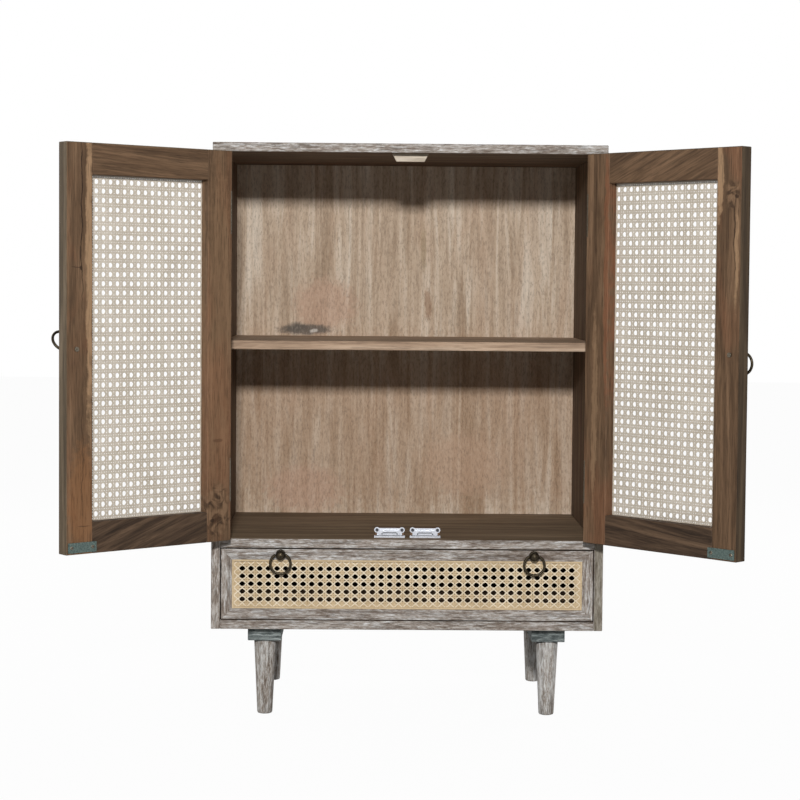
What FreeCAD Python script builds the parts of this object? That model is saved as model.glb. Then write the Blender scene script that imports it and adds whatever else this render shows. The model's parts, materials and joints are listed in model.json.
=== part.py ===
import FreeCAD, Part
import math
import os
import re

import Sketcher
from FreeCAD import Vector

# Accent cabinet: a whitewashed carcass with two inset cane doors, one shelf, a cane-fronted drawer and four legs.
# Every piece is drawn with the doors shut, in millimetres, from the middle of the front edge on the floor:
# X to the right, Y to the back, Z up. Its placement then moves it to the middle of the cabinet's depth, and
# turns the door pieces about their hinge pins to where the doors stand open.

SIZES = {
    # carcass
    "cabinet_width": 700,
    "cabinet_depth": 408,
    "board": 16,
    "door_opening_height": 688,
    "drawer_opening_height": 130,
    "edge_ease": 1,
    "back_thickness": 5,
    "back_rebate": 8,
    "back_clearance": 0.2,
    "shelf_thickness": 16,
    "shelf_setback": 60,
    "shelf_housing": 5,
    "shelf_clearance": 0.1,
    # stop block under the top
    "stop_width": 65,
    "stop_slope": 7.5,
    "stop_height": 14,
    "stop_depth": 18,
    "stop_gap": 0.8,
    # rails under the carcass, and the legs that they carry
    "rail_width": 60,
    "rail_height": 25,
    "rail_setback": 25,
    "rail_rear_setback": 35,
    "leg_inset": 94.5,
    "leg_setback": 50,
    "leg_rear_setback": 60,
    "leg_length": 136,
    "leg_top_diameter": 40,
    "leg_foot_diameter": 27.5,
    "leg_bolt_diameter": 8,
    "leg_bolt_in_rail": 18,
    "leg_bolt_in_leg": 32,
    "bolt_clearance": 0.1,
    # doors
    "door_thickness": 25,
    "door_gap": 2,
    "meeting_gap": 4,
    "stile_width": 50,
    "door_rail_width": 52.5,
    "tenon_length": 22,
    "tenon_thickness": 8,
    "tenon_shoulder": 10,
    "tenon_clearance": 0.2,
    "left_door_angle": 141.3,
    "right_door_angle": 133.4,
    # cane panels and the beads that hold them
    "cane_rebate_depth": 5,
    "cane_thickness": 1.2,
    "cane_clearance": 0.3,
    "bead_width": 3.5,
    "bead_thickness": 3,
    "net_margin": 12,
    "drawer_net_pitch_x": 15.5,
    "drawer_net_pitch_z": 13.75,
    "drawer_net_gap_x": 9,
    "drawer_net_gap_z": 8,
    "door_net_pitch_x": 31,
    "door_net_pitch_z": 34.5,
    "door_net_gap_x": 16,
    "door_net_gap_z": 18,
    # butt hinges
    "hinge_length": 75,
    "hinge_inset": 70,
    "hinge_pin_offset": 9,
    "hinge_barrel_diameter": 9,
    "hinge_pin_diameter": 4,
    "hinge_pin_clearance": 0.05,
    "knuckle_gap": 0.4,
    "leaf_thickness": 2.5,
    "leaf_recess": 0.4,
    "leaf_clearance": 0.3,
    "barrel_clearance": 0.6,
    # ring pulls
    "rose_diameter": 18,
    "rose_thickness": 2,
    "neck_diameter": 10,
    "knob_diameter": 17,
    "knob_length": 14,
    "knob_standoff": 12,
    "pull_inset": 19,
    "drawer_pull_spread": 452,
    "ring_diameter": 41,
    "ring_wire": 4.8,
    "ring_drop": 15,
    "ring_shoulder": 0.4,
    "ring_pin_diameter": 3,
    "ring_pin_clearance": 0.06,
    "left_ring_raise": 147,
    "pull_bolt_diameter": 4,
    "pull_bolt_head_diameter": 8,
    "pull_bolt_head": 2.5,
    "pull_bolt_reach": 3,
    # magnetic catches on the floor, and the strike plates on the doors
    "catch_width": 55,
    "catch_height": 18.5,
    "catch_plate": 1.6,
    "catch_body_width": 34,
    "catch_body_depth": 5,
    "catch_body_height": 13,
    "catch_foot_height": 4,
    "catch_ear_diameter": 10,
    "catch_hole_diameter": 4,
    "catch_inset": 4.5,
    "catch_gap": 1,
    "catch_block_depth": 14,
    "catch_block_margin": 1.5,
    "catch_screw_head_diameter": 6,
    "catch_screw_head": 1.5,
    "catch_screw_length": 10,
    "strike_width": 54,
    "strike_height": 17,
    "strike_thickness": 1.6,
    "strike_inset_x": 3,
    "strike_inset_z": 3,
    # drawer
    "drawer_gap": 2,
    "drawer_front_thickness": 20,
    "drawer_frame_width": 22.5,
    "drawer_side_thickness": 14,
    "drawer_side_height": 96,
    "drawer_lift": 8,
    "drawer_length": 345,
    "drawer_back_thickness": 12,
    "drawer_bottom_thickness": 4,
    "drawer_bottom_rise": 8,
    "drawer_bottom_groove": 6,
    "drawer_bottom_clearance": 0.2,
    "runner_height": 18,
    "runner_thickness": 9,
    "runner_setback": 30,
    "runner_length": 350,
    "runner_clearance": 0.5,
    # how far a cutting shape runs past what it cuts
    "overrun": 1,
}

PARTS_FOLDER = "parts"

doc = FreeCAD.newDocument("accent_cabinet")
sheet = doc.addObject("Spreadsheet::Sheet", "sizes")
for row, (alias, number) in enumerate(SIZES.items(), start=1):
    sheet.set(f"A{row}", alias)
    sheet.set(f"B{row}", str(number))
    sheet.setAlias(f"B{row}", alias)
doc.recompute()

# Heights from the floor, and distances from the middle plane, as formulas on the sheet's values
BOTTOM = "(leg_length + rail_height)"
LEG_X = "(cabinet_width / 2 - leg_inset)"
DRAWER_FLOOR = f"({BOTTOM} + board)"
DIVIDER = f"({DRAWER_FLOOR} + drawer_opening_height)"
CABINET_FLOOR = f"({DIVIDER} + board)"
CEILING = f"({CABINET_FLOOR} + door_opening_height)"
HALF = "(cabinet_width / 2)"
INNER = f"({HALF} - board)"
BOARD_DEPTH = "(cabinet_depth - back_thickness)"
SHELF_TOP = f"({CABINET_FLOOR} + door_opening_height / 2 + shelf_thickness / 2)"
DOOR_LOW = f"({CABINET_FLOOR} + door_gap)"
DOOR_HIGH = f"({CEILING} - door_gap)"
DOOR_OUTER = f"({INNER} - door_gap)"
DOOR_FREE = "(meeting_gap / 2)"
DOOR_MIDDLE = f"({CABINET_FLOOR} + door_opening_height / 2)"
PIN_X = f"({INNER} - door_gap / 2)"
PULL_X = f"({DOOR_FREE} + pull_inset)"
FRONT_HALF = f"({INNER} - drawer_gap)"
FRONT_LOW = f"({DRAWER_FLOOR} + drawer_gap)"
FRONT_HIGH = f"({DIVIDER} - drawer_gap)"
RING_END = "(knob_diameter / 2 + ring_shoulder)"

LEFT = -1
RIGHT = 1
SIDE_NAMES = {LEFT: "left", RIGHT: "right"}
BOLT_SIDES = 8
ROUND_SIDES = 16
RING_SIDES = 24
LEG_SIDES = 32

nodes = []


def formula(text):
    """A formula in the sheet's names, written the way the document's expressions refer to them."""
    return re.sub(r"[a-z_]+", lambda word: f"sizes.{word[0]}" if word[0] in SIZES else word[0], text)


def size(alias):
    """A value of the sheet, for shapes that are worked out in code."""
    return float(sheet.get(alias))


def bind(item, **formulas):
    for name, text in formulas.items():
        item.setExpression(name.replace("__", "."), formula(text))


def placement(group):
    """Where a group's pieces go: to the middle of the depth, and for a door round its hinge pins."""
    if group in ("left_door", "right_door"):
        side = LEFT if group == "left_door" else RIGHT
        turn = f"rotation(vector(0; 0; 1); {side} * {group}_angle)"
        pin = f"vector({side} * {PIN_X}; -hinge_pin_offset; 0)"
    else:
        turn = "rotation(vector(0; 0; 1); 0)"
        pin = "vector(0; 0; 0)"
    return f"placement(vector(0; -cabinet_depth / 2; 0); {turn}; {pin})"


def node(item, label, group, before=""):
    """Keeps a finished piece as a sub-part, and places it with its group."""
    item.Label = label
    item.setExpression("Placement", formula(placement(group) + before))
    nodes.append(item)
    return item


def span(side, near, far):
    """The start and length in X of what lies between two distances from the middle plane."""
    start = f"-({far})" if side == LEFT else f"({near})"
    return start, f"(({far}) - ({near}))"


def rectangle(x, z, width, height):
    return [
        (x, z),
        (f"{x} + {width}", z),
        (f"{x} + {width}", f"{z} + {height}"),
        (x, f"{z} + {height}"),
    ]


def regular(centre, radius, corners):
    """The corners of a regular outline, which stands for a circle where a piece is small or repeats."""
    x, z = centre
    angles = [360 * (index + 1 / 2) / corners for index in range(corners)]
    return [(f"{x} + ({radius}) * cos({angle} deg)", f"{z} + ({radius}) * sin({angle} deg)") for angle in angles]


# PartDesign pieces: outlines on a plane, padded and cut

def new_body(name):
    return doc.addObject("PartDesign::Body", name)


def new_sketch(body, plane, offset=("0", "0", "0")):
    sketch = body.newObject("Sketcher::SketchObject", f"{body.Name}_outline")
    support = [item for item in body.Origin.OriginFeatures if item.Role == f"{plane}_Plane"]
    sketch.AttachmentSupport = [(support[0], "")]
    sketch.MapMode = "FlatFace"
    for axis, text in zip("xyz", offset):
        sketch.setExpression(f"AttachmentOffset.Base.{axis}", formula(text))
    return sketch


def draw_loop(sketch, points):
    """A closed outline with straight sides, each corner held at two formulas."""
    first = sketch.GeometryCount
    count = len(points)
    corners = [2 * math.pi * index / count for index in range(count + 1)]
    for begin, end in zip(corners, corners[1:]):
        line = Part.LineSegment(
            Vector(math.cos(begin), math.sin(begin), 0),
            Vector(math.cos(end), math.sin(end), 0),
        )
        sketch.addGeometry(line, False)
    for index in range(count):
        following = first + (index + 1) % count
        sketch.addConstraint(Sketcher.Constraint("Coincident", first + index, 2, following, 1))
    for index, corner in enumerate(points):
        for kind, text in zip(("DistanceX", "DistanceY"), corner):
            held = sketch.addConstraint(Sketcher.Constraint(kind, -1, 1, first + index, 1, 1))
            sketch.setExpression(f"Constraints[{held}]", formula(text))


def plane_offset(plane, start):
    """Where a sketch goes so that it stands at a distance along the axis square to its plane."""
    return ("0", "0", f"-({start})") if plane == "XZ" else ("0", "0", start)


def pad(body, plane, loops, start, length):
    """Adds the outlines' solid, from a start along the plane's own axis."""
    sketch = new_sketch(body, plane, plane_offset(plane, start))
    for loop in loops:
        draw_loop(sketch, loop)
    feature = body.newObject("PartDesign::Pad", f"{body.Name}_pad")
    feature.Profile = sketch
    feature.Reversed = plane == "XZ"
    bind(feature, Length=length)
    doc.recompute()
    return feature


def pocket(body, sketch, plane, length):
    before = body.Shape.Volume
    feature = body.newObject("PartDesign::Pocket", f"{body.Name}_pocket")
    feature.Profile = sketch
    feature.Reversed = plane != "XZ"
    bind(feature, Length=length)
    doc.recompute()
    if body.Shape.Volume >= before:
        raise RuntimeError(f"{body.Name}: a cut missed the solid")


def cut(body, plane, loop, start, length):
    """Takes an outline's solid away, from a start along the plane's own axis."""
    sketch = new_sketch(body, plane, plane_offset(plane, start))
    draw_loop(sketch, loop)
    pocket(body, sketch, plane, length)


def drill(body, plane, centres, radius, start, length):
    """Takes bolt holes away."""
    sketch = new_sketch(body, plane, plane_offset(plane, start))
    for centre in centres:
        draw_loop(sketch, regular(centre, radius, BOLT_SIDES))
    pocket(body, sketch, plane, length)


def ease(body, feature, width="edge_ease"):
    """Breaks every edge of a board a little."""
    chamfer = body.newObject("PartDesign::Chamfer", f"{body.Name}_ease")
    chamfer.Base = (feature, [])
    chamfer.UseAllEdges = True
    bind(chamfer, Size=width)
    doc.recompute()


def board(name, plane, loop, start, length):
    """A board with softened edges."""
    body = new_body(name)
    feature = pad(body, plane, [loop], start, length)
    ease(body, feature)
    return body


# Part pieces: boxes, cylinders and what is made of them

def make_box(x, y, z, length, width, height):
    item = doc.addObject("Part::Box", "block")
    bind(item, Length=length, Width=width, Height=height)
    bind(item, Placement__Base__x=x, Placement__Base__y=y, Placement__Base__z=z)
    return item


def make_rod(x, y, z, radius, length, along="Z"):
    """A cylinder from a start along one axis."""
    item = doc.addObject("Part::Cylinder", "rod")
    bind(item, Radius=radius, Height=length)
    quarter = {"X": (Vector(0, 1, 0), 90), "Z": (Vector(0, 0, 1), 0)}
    item.Placement.Rotation = FreeCAD.Rotation(*quarter[along])
    bind(item, Placement__Base__x=x, Placement__Base__y=y, Placement__Base__z=z)
    return item


def make_prism(x, y, z, radius, length, along="Z", sides=BOLT_SIDES):
    """A straight piece with a regular section from a start along one axis, a flat of it facing each way."""
    item = doc.addObject("Part::Prism", "prism")
    item.Polygon = sides
    bind(item, Circumradius=radius, Height=length)
    quarter = {"Y": FreeCAD.Rotation(Vector(1, 0, 0), -90), "Z": FreeCAD.Rotation()}
    item.Placement.Rotation = quarter[along].multiply(FreeCAD.Rotation(Vector(0, 0, 1), 180 / sides))
    bind(item, Placement__Base__x=x, Placement__Base__y=y, Placement__Base__z=z)
    return item


def fuse(items):
    result = doc.addObject("Part::MultiFuse", "joined")
    result.Shapes = items
    return result


def subtract(base, tool):
    result = doc.addObject("Part::Cut", "holed")
    result.Base = base
    result.Tool = tool
    return result


def group_of(items):
    result = doc.addObject("Part::Compound", "group")
    result.Links = items
    return result


# Carcass

def make_panels():
    full = rectangle(f"-{HALF}", "0", "cabinet_width", "cabinet_depth")
    top = board("top_panel", "XY", full, CEILING, "board")
    rebate = rectangle(f"-({INNER} + back_rebate)", BOARD_DEPTH, f"2 * ({INNER} + back_rebate)",
                       "back_thickness + overrun")
    cut(top, "XY", rebate, f"{CEILING} - overrun", "back_rebate + overrun")
    node(top, "top_panel", "carcass")

    between = rectangle(f"-{INNER}", "0", f"2 * {INNER}", BOARD_DEPTH)
    node(board("cabinet_floor", "XY", between, DIVIDER, "board"), "cabinet_floor", "carcass")
    node(board("bottom_panel", "XY", between, BOTTOM, "board"), "bottom_panel", "carcass")

    back_half = f"({INNER} + back_rebate - back_clearance)"
    back_high = f"{CEILING} + back_rebate - back_clearance - {BOTTOM}"
    back = new_body("back_panel")
    pad(back, "XZ", [rectangle(f"-{back_half}", BOTTOM, f"2 * {back_half}", back_high)], BOARD_DEPTH,
        "back_thickness")
    node(back, "back_panel", "carcass")


def hinge_bottoms():
    """The lower end of each hinge on a door."""
    return [f"({DOOR_LOW} + hinge_inset)", f"({DOOR_HIGH} - hinge_inset - hinge_length)"]


def make_side(side):
    name = f"{SIDE_NAMES[side]}_side_panel"
    x, width = span(side, INNER, HALF)
    body = board(name, "XY", rectangle(x, "0", width, "cabinet_depth"), BOTTOM, f"({CEILING} - {BOTTOM})")
    # rebate for the back
    x, width = span(side, f"{INNER} - overrun", f"{INNER} + back_rebate")
    cut(body, "XY", rectangle(x, BOARD_DEPTH, width, "back_thickness + overrun"), f"{BOTTOM} - overrun",
        f"({CEILING} - {BOTTOM} + 2 * overrun)")
    # housing for the shelf
    x, width = span(side, f"{INNER} - overrun", f"{INNER} + shelf_housing")
    low = f"({SHELF_TOP} - shelf_thickness - shelf_clearance)"
    housing = rectangle(x, low, width, "shelf_thickness + 2 * shelf_clearance")
    cut(body, "XZ", housing, "shelf_setback - shelf_clearance", f"({BOARD_DEPTH} - shelf_setback + overrun)")
    # beds for the hinge leaves
    x, width = span(side, f"{INNER} - overrun", f"{INNER} + leaf_recess + leaf_thickness")
    for low in hinge_bottoms():
        bed = rectangle(x, f"{low} - leaf_clearance", width, "hinge_length + 2 * leaf_clearance")
        cut(body, "XZ", bed, "-overrun", "door_thickness + overrun + leaf_clearance")
    node(body, name, "carcass")


def make_shelf():
    half = f"({INNER} + shelf_housing - shelf_clearance)"
    loop = rectangle(f"-{half}", "shelf_setback", f"2 * {half}", f"({BOARD_DEPTH} - shelf_setback)")
    node(board("shelf", "XY", loop, f"{SHELF_TOP} - shelf_thickness", "shelf_thickness"), "shelf", "carcass")


def make_stop_block():
    body = new_body("door_stop_block")
    low = f"({CEILING} - stop_height)"
    loop = [
        ("-stop_width / 2", CEILING),
        ("-stop_width / 2 + stop_slope", low),
        ("stop_width / 2 - stop_slope", low),
        ("stop_width / 2", CEILING),
    ]
    pad(body, "XZ", [loop], "door_thickness + stop_gap", "stop_depth")
    node(body, "door_stop_block", "carcass")


# Rails and legs

def leg_places():
    front = "leg_setback"
    rear = "(cabinet_depth - leg_rear_setback)"
    return [(end, side, f"({side} * {LEG_X})", y)
            for end, y in (("front", front), ("rear", rear)) for side in (LEFT, RIGHT)]


def make_leg_rail(side):
    name = f"{SIDE_NAMES[side]}_leg_rail"
    loop = rectangle(f"({side} * {LEG_X} - rail_width / 2)", "rail_setback", "rail_width",
                     "(cabinet_depth - rail_setback - rail_rear_setback)")
    body = board(name, "XY", loop, "leg_length", "rail_height")
    centres = [(x, y) for end, at, x, y in leg_places() if at == side]
    drill(body, "XY", centres, "leg_bolt_diameter / 2 + bolt_clearance", "leg_length - overrun",
          "leg_bolt_in_rail + bolt_clearance + overrun")
    node(body, name, "carcass")


def make_leg(end, side, x, y):
    """A tapered leg with many flat sides for its round, bored at the top for its bolt."""
    def ring(radius, height, corners):
        angles = [2 * math.pi * (index + 1 / 2) / corners for index in range(corners)]
        return [Vector(radius * math.cos(angle), radius * math.sin(angle), height) for angle in angles]

    def face(points):
        return Part.Face(Part.makePolygon(points + points[:1]))

    length = size("leg_length")
    foot = ring(size("leg_foot_diameter") / 2, 0, LEG_SIDES)
    head = ring(size("leg_top_diameter") / 2, length, LEG_SIDES)
    facets = [face([foot[index - 1], foot[index], head[index], head[index - 1]]) for index in range(LEG_SIDES)]
    taper = Part.Solid(Part.Shell(facets + [face(foot), face(head)]))
    depth = size("leg_bolt_in_leg") + size("bolt_clearance")
    mouth = ring(size("leg_bolt_diameter") / 2 + size("bolt_clearance"), length - depth, BOLT_SIDES)
    name = f"{end}_{SIDE_NAMES[side]}_leg"
    item = doc.addObject("Part::Feature", name)
    item.Shape = taper.cut(face(mouth).extrude(Vector(0, 0, depth + size("overrun"))))
    node(item, name, "carcass", f" * placement(vector({x}; {y}; 0); rotation(vector(0; 0; 1); 0))")


def make_leg_bolts():
    length = "(leg_bolt_in_leg + leg_bolt_in_rail)"
    bolts = [make_prism(x, y, "leg_length - leg_bolt_in_leg", "leg_bolt_diameter / 2 - bolt_clearance", length)
             for end, side, x, y in leg_places()]
    node(group_of(bolts), "leg_bolts", "carcass")


# Doors

def make_door_frame(side):
    group = f"{SIDE_NAMES[side]}_door"
    opening_low = f"({DOOR_LOW} + door_rail_width)"
    opening_high = f"({DOOR_HIGH} - door_rail_width)"
    rebate_x, rebate_width = span(side, f"{DOOR_FREE} + stile_width - bead_width",
                                  f"{DOOR_OUTER} - stile_width + bead_width")
    rebate = rectangle(rebate_x, f"({opening_low} - bead_width)", rebate_width,
                       f"({opening_high} - {opening_low} + 2 * bead_width)")
    height = f"({DOOR_HIGH} - {DOOR_LOW})"
    tenon_y = "(cane_rebate_depth + (door_thickness - cane_rebate_depth - tenon_thickness) / 2)"
    rails = {"bottom": DOOR_LOW, "top": opening_high}
    tenon_height = "(door_rail_width - 2 * tenon_shoulder)"

    stiles = {
        "hinge_stile": (f"{DOOR_OUTER} - stile_width", DOOR_OUTER),
        "free_stile": (DOOR_FREE, f"{DOOR_FREE} + stile_width"),
    }
    mortises = {
        "hinge_stile": (f"{DOOR_OUTER} - stile_width - overrun",
                        f"{DOOR_OUTER} - stile_width + tenon_length + tenon_clearance"),
        "free_stile": (f"{DOOR_FREE} + stile_width - tenon_length - tenon_clearance",
                       f"{DOOR_FREE} + stile_width + overrun"),
    }
    for piece, (near, far) in stiles.items():
        x, width = span(side, near, far)
        body = board(f"{group}_{piece}", "XZ", rectangle(x, DOOR_LOW, width, height), "0", "door_thickness")
        cut(body, "XZ", rebate, "-overrun", "cane_rebate_depth + overrun")
        x, width = span(side, *mortises[piece])
        for low in rails.values():
            hole = rectangle(x, f"({low} + tenon_shoulder - tenon_clearance)", width,
                             f"({tenon_height} + 2 * tenon_clearance)")
            cut(body, "XZ", hole, f"{tenon_y} - tenon_clearance", "tenon_thickness + 2 * tenon_clearance")
        if piece == "hinge_stile":
            x, width = span(side, f"{DOOR_OUTER} - leaf_recess - leaf_thickness", f"{DOOR_OUTER} + overrun")
            for low in hinge_bottoms():
                bed = rectangle(x, f"{low} - leaf_clearance", width, "hinge_length + 2 * leaf_clearance")
                cut(body, "XZ", bed, "-overrun", "door_thickness + 2 * overrun")
        else:
            drill(body, "XZ", [(f"{side} * {PULL_X}", DOOR_MIDDLE)], "pull_bolt_diameter / 2 + bolt_clearance",
                  "-overrun", "door_thickness + 2 * overrun")
        node(body, f"{group}_{piece}", group)

    rail_x, rail_length = span(side, f"{DOOR_FREE} + stile_width", f"{DOOR_OUTER} - stile_width")
    tenon_x, tenoned_length = span(side, f"{DOOR_FREE} + stile_width - tenon_length",
                                   f"{DOOR_OUTER} - stile_width + tenon_length")
    for end, low in rails.items():
        name = f"{group}_{end}_rail"
        loop = rectangle(rail_x, low, rail_length, "door_rail_width")
        body = board(name, "XZ", loop, "0", "door_thickness")
        tenon = rectangle(tenon_x, f"({low} + tenon_shoulder)", tenoned_length, tenon_height)
        pad(body, "XZ", [tenon], tenon_y, "tenon_thickness")
        cut(body, "XZ", rebate, "-overrun", "cane_rebate_depth + overrun")
        node(body, name, group)

    opening_x, opening_width = span(side, f"{DOOR_FREE} + stile_width", f"{DOOR_OUTER} - stile_width")
    opening = (opening_x, opening_low, opening_width, f"({opening_high} - {opening_low})")
    make_bead(f"{group}_bead", group, opening)
    x_middle = side * (size("meeting_gap") / 2 + door_width() / 2)
    z_middle = sum(size(alias) for alias in ("leg_length", "rail_height", "drawer_opening_height"))
    z_middle += 2 * size("board") + size("door_opening_height") / 2
    width = door_width() - 2 * size("stile_width")
    height = size("door_opening_height") - 2 * size("door_gap") - 2 * size("door_rail_width")
    make_cane(f"{group}_cane", group, x_middle, z_middle, width, height, "door_net")


def door_width():
    inner = size("cabinet_width") / 2 - size("board")
    return inner - size("door_gap") - size("meeting_gap") / 2


# Cane and beads

def make_bead(name, group, opening):
    """A thin frame that presses the cane's edge into its rebate."""
    x, z, width, height = opening
    outer = rectangle(f"({x} - bead_width + cane_clearance)", f"({z} - bead_width + cane_clearance)",
                      f"({width} + 2 * (bead_width - cane_clearance))",
                      f"({height} + 2 * (bead_width - cane_clearance))")
    inner = rectangle(x, z, width, height)
    body = new_body(name)
    pad(body, "XZ", [outer, inner], "cane_rebate_depth - cane_thickness - bead_thickness", "bead_thickness")
    node(body, name, group)


def make_cane(name, group, x_middle, z_middle, width, height, net):
    """A cane sheet: one face with a regular field of diamond gaps, given its thickness."""
    lap = size("bead_width") - size("cane_clearance")
    front = size("cane_rebate_depth") - size("cane_thickness")

    def closed(points):
        corners = [Vector(x_middle + x, front, z_middle + z) for x, z in points]
        return Part.makePolygon(corners + corners[:1])

    def counted(length, pitch):
        return int((length - 2 * size("net_margin")) / pitch) + 1

    half_width = width / 2 + lap
    half_height = height / 2 + lap
    corners = [(-half_width, -half_height), (half_width, -half_height),
               (half_width, half_height), (-half_width, half_height)]
    wires = [closed(corners)]
    pitch_x = size(f"{net}_pitch_x")
    pitch_z = size(f"{net}_pitch_z")
    reach_x = size(f"{net}_gap_x") / 2
    reach_z = size(f"{net}_gap_z") / 2
    columns = counted(width, pitch_x)
    rows = counted(height, pitch_z)
    for column in range(columns):
        x = (column - (columns - 1) / 2) * pitch_x
        for row in range(rows):
            z = (row - (rows - 1) / 2) * pitch_z
            wires.append(closed([(x - reach_x, z), (x, z + reach_z), (x + reach_x, z), (x, z - reach_z)]))
    item = doc.addObject("Part::Feature", name)
    item.Shape = Part.makeFace(wires, "Part::FaceMakerBullseye").extrude(Vector(0, size("cane_thickness"), 0))
    node(item, name, group)
    print(f"{name}: {columns} by {rows} gaps")


# Hinges

def make_leaf(side, low, swings):
    """One leaf of a butt hinge with its knuckles: the door's is bored, the carcass's carries the pin."""
    if swings:
        x, width = span(side, f"{DOOR_OUTER} - leaf_recess - leaf_thickness", f"{DOOR_OUTER} - leaf_recess")
    else:
        x, width = span(side, f"{INNER} + leaf_recess", f"{INNER} + leaf_recess + leaf_thickness")
    plate_front = "(-hinge_pin_offset + hinge_barrel_diameter / 2 + barrel_clearance)"
    pieces = [make_box(x, plate_front, low, width, f"(door_thickness - {plate_front})", "hinge_length")]
    pin_x = f"({side} * {PIN_X})"
    knuckles = 3
    for index in range(knuckles):
        if index % 2 != swings:
            continue
        bottom = f"({low} + hinge_length * {index} / {knuckles} + knuckle_gap / 2)"
        height = f"(hinge_length / {knuckles} - knuckle_gap)"
        pieces.append(make_box(x, "-hinge_pin_offset", bottom, width, f"({plate_front} + hinge_pin_offset)", height))
        pieces.append(make_prism(pin_x, "-hinge_pin_offset", bottom, "hinge_barrel_diameter / 2", height))
    if swings:
        hole = make_rod(pin_x, "-hinge_pin_offset", low, "hinge_pin_diameter / 2 + hinge_pin_clearance", "hinge_length")
        return subtract(fuse(pieces), hole)
    pin_height = "(hinge_length - 2 * knuckle_gap)"
    pieces.append(make_rod(pin_x, "-hinge_pin_offset", f"{low} + knuckle_gap", "hinge_pin_diameter / 2", pin_height))
    return fuse(pieces)


def make_hinges():
    places = [(side, low) for side in (LEFT, RIGHT) for low in hinge_bottoms()]
    frame_leaves = [make_leaf(side, low, False) for side, low in places]
    node(group_of(frame_leaves), "hinge_frame_leaves", "carcass")
    for side, name in SIDE_NAMES.items():
        door_leaves = [make_leaf(side, low, True) for low in hinge_bottoms()]
        node(group_of(door_leaves), f"{name}_door_hinge_leaves", f"{name}_door")


# Ring pulls

def make_knob(x, z):
    """A rose, a neck and a knob in one, bored across for the ring's pin and from behind for the bolt."""
    knob_back = "(knob_standoff - knob_length / 2)"
    rose = make_prism(x, "-rose_thickness", z, "rose_diameter / 2", "rose_thickness", "Y", ROUND_SIDES)
    neck = make_prism(x, f"-{knob_back}", z, "neck_diameter / 2", knob_back, "Y")
    corner = f"knob_diameter / 2 / cos({180 / BOLT_SIDES} deg)"
    drum = make_prism(x, "-(knob_standoff + knob_length / 2)", z, corner, "knob_length", "Y")
    bore = make_rod(f"({x} - knob_diameter)", "-knob_standoff", z, "ring_pin_diameter / 2 + ring_pin_clearance",
                    "2 * knob_diameter", "X")
    bolt_hole = make_prism(x, "-(pull_bolt_reach + bolt_clearance)", z, "pull_bolt_diameter / 2 + bolt_clearance",
                           "pull_bolt_reach + bolt_clearance + overrun", "Y")
    return subtract(subtract(fuse([rose, neck, drum]), bore), bolt_hole)


def make_pull_bolt(x, z, wood):
    shank = make_prism(x, "-pull_bolt_reach", z, "pull_bolt_diameter / 2 - bolt_clearance",
                       f"(pull_bolt_reach + {wood})", "Y")
    head = make_prism(x, wood, z, "pull_bolt_head_diameter / 2", "pull_bolt_head", "Y", ROUND_SIDES)
    return fuse([shank, head])


def make_ring(name, group, x, z, raised="0"):
    """A ring, open where the knob stands in it and closed there by a straight pin that turns in the knob."""
    front = "-(knob_standoff + ring_wire / 2)"
    middle = f"({z} - ring_drop)"
    outside = make_prism(x, front, middle, "ring_diameter / 2", "ring_wire", "Y", RING_SIDES)
    inside = make_prism(x, f"{front} - overrun", middle, "ring_diameter / 2 - ring_wire", "ring_wire + 2 * overrun",
                        "Y", RING_SIDES)
    doorway = make_box(f"({x} - {RING_END})", f"{front} - overrun", middle, f"2 * {RING_END}",
                       "ring_wire + 2 * overrun", "ring_diameter / 2 + overrun")
    pin_end = f"({RING_END} + ring_pin_diameter)"
    pin = make_rod(f"({x} - {pin_end})", "-knob_standoff", z, "ring_pin_diameter / 2", f"2 * {pin_end}", "X")
    ring = fuse([subtract(subtract(outside, inside), doorway), pin])
    swing = f"rotation(vector(1; 0; 0); -({raised}))"
    node(ring, name, group, f" * placement(vector(0; 0; 0); {swing}; vector({x}; -knob_standoff; {z}))")


def make_door_pull(side):
    group = f"{SIDE_NAMES[side]}_door"
    x = f"({side} * {PULL_X})"
    node(make_knob(x, DOOR_MIDDLE), f"{group}_knob", group)
    node(make_pull_bolt(x, DOOR_MIDDLE, "door_thickness"), f"{group}_pull_bolt", group)
    make_ring(f"{group}_ring", group, x, DOOR_MIDDLE, "left_ring_raise" if side == LEFT else "0")


def make_drawer_pulls():
    z = f"({FRONT_HIGH} - (drawer_frame_width - bead_width) / 2)"
    places = [f"({side} * drawer_pull_spread / 2)" for side in (LEFT, RIGHT)]
    node(group_of([make_knob(x, z) for x in places]), "drawer_knobs", "drawer")
    bolts = [make_pull_bolt(x, z, "drawer_front_thickness") for x in places]
    node(group_of(bolts), "drawer_pull_bolts", "drawer")
    for x, name in zip(places, SIDE_NAMES.values()):
        make_ring(f"{name}_drawer_ring", "drawer", x, z)


# Catches and strike plates

CATCH_FRONT = "(door_thickness + strike_thickness + catch_gap + catch_body_depth)"


def catch_ears(side):
    """The centres of a catch's two screw ears."""
    z = f"({CABINET_FLOOR} + catch_height - catch_ear_diameter / 2)"
    near = "(catch_inset + catch_ear_diameter / 2)"
    far = "(catch_inset + catch_width - catch_ear_diameter / 2)"
    return [(f"({side} * {place})", z) for place in (near, far)]


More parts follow.
